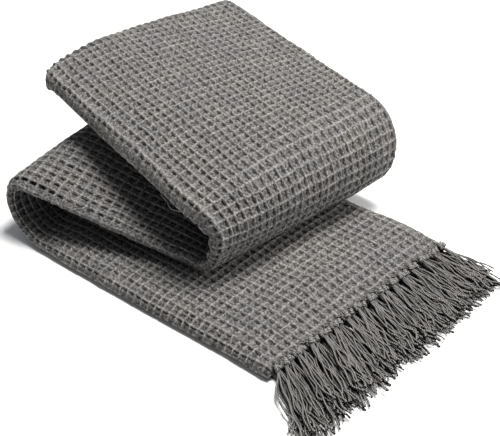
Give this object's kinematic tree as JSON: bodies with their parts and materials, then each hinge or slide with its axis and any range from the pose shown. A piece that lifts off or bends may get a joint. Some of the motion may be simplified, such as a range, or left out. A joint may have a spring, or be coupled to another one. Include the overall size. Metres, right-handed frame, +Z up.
{
  "type": "folded throw blanket",
  "caption": "Grey waffle-weave cotton throw folded lengthwise and laid in a loose Z-shaped stack, with a knotted tassel fringe spreading from its lowest layer",
  "frame": {"origin": "centre of the underside of the overall box, on the surface the throw lies on", "axes": "+X along the folded strip towards its fringed end, +Y across the strip, +Z up"},
  "size_m": [0.575, 0.4942, 0.1674],
  "materials": {
    "waffle_cloth": "matte woven cotton, mid grey",
    "fringe_yarn": "matte twisted cotton yarn, mid grey"
  },
  "bodies": {
    "root": {"bottom_run": "waffle_cloth", "left_fold": "waffle_cloth", "middle_run": "waffle_cloth", "right_fold": "waffle_cloth", "top_run": "waffle_cloth", "top_end_fold": "waffle_cloth", "tucked_run": "waffle_cloth", "tassel_01": "fringe_yarn", "tassel_02": "fringe_yarn", "tassel_03": "fringe_yarn", "tassel_04": "fringe_yarn", "tassel_05": "fringe_yarn", "tassel_06": "fringe_yarn", "tassel_07": "fringe_yarn", "tassel_08": "fringe_yarn", "tassel_09": "fringe_yarn", "tassel_10": "fringe_yarn", "tassel_11": "fringe_yarn", "tassel_12": "fringe_yarn", "tassel_13": "fringe_yarn", "tassel_14": "fringe_yarn", "tassel_15": "fringe_yarn", "fringe_ply_1": "fringe_yarn", "fringe_ply_2": "fringe_yarn", "fringe_ply_3": "fringe_yarn", "tucked_fringe_ply_1": "fringe_yarn", "tucked_fringe_ply_2": "fringe_yarn", "tucked_fringe_ply_3": "fringe_yarn", "tucked_fringe_ply_4": "fringe_yarn"}
  },
  "joints": []
}
